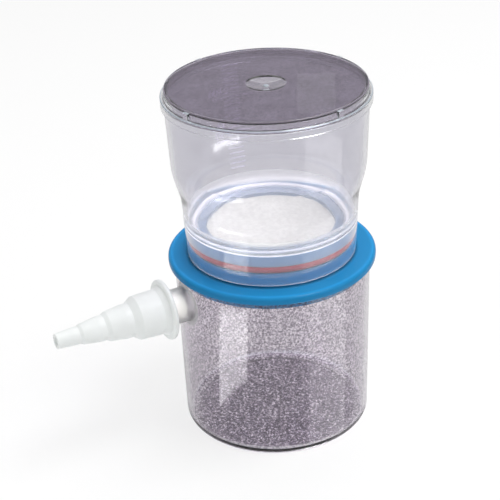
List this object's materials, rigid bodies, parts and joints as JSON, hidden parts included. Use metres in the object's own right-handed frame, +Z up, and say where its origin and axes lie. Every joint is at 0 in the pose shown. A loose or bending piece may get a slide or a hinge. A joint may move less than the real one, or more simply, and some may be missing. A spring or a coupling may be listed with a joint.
{
  "type": "vacuum filtration unit",
  "caption": "Disposable vacuum filter: clear lidded funnel over a white membrane, blue collar with red seal ring, clear cup with side port and stepped white hose adapter.",
  "frame": {"origin": "centre of the ring that the receiver stands on, on the axis of the cup", "axes": "+Z up along the common axis of the cup, collar and funnel; the side port and hose adapter point along -X"},
  "size_m": [0.1203, 0.074, 0.1291],
  "materials": {
    "clear_polystyrene": "clear injection-moulded polystyrene, polished",
    "blue_polypropylene": "satin moulded polypropylene",
    "white_polyethylene": "satin moulded polyethylene",
    "natural_polypropylene": "milky uncoloured moulding",
    "red_silicone": "moulded ring, matt",
    "cellulose_pad": "pressed fibre pad",
    "cellulose_membrane": "cast microporous sheet, matt",
    "cotton_fibre": "loose cotton fibre"
  },
  "bodies": {
    "base": {"receiver": "clear_polystyrene", "cotton_plug": "cotton_fibre"},
    "collar_stack": {"collar": "blue_polypropylene", "seal_ring": "red_silicone", "support_plate": "natural_polypropylene", "support_pad": "cellulose_pad", "membrane_filter": "cellulose_membrane"},
    "funnel": {"upper_chamber": "clear_polystyrene"},
    "cover": {"lid": "clear_polystyrene"},
    "adapter": {"hose_adapter": "white_polyethylene"}
  },
  "joints": [
    {"name": "collar_lift", "type": "slide", "parent": "base", "child": "collar_stack", "axis": [0, 0, 1], "range_m": [0, 0.02]},
    {"name": "funnel_lift", "type": "slide", "parent": "collar_stack", "child": "funnel", "axis": [0, 0, 1], "range_m": [0, 0.015]},
    {"name": "lid_lift", "type": "slide", "parent": "funnel", "child": "cover", "axis": [0, 0, 1], "range_m": [0, 0.01]},
    {"name": "adapter_pull", "type": "slide", "parent": "base", "child": "adapter", "axis": [-1, 0, 0], "range_m": [0, 0.015]}
  ]
}
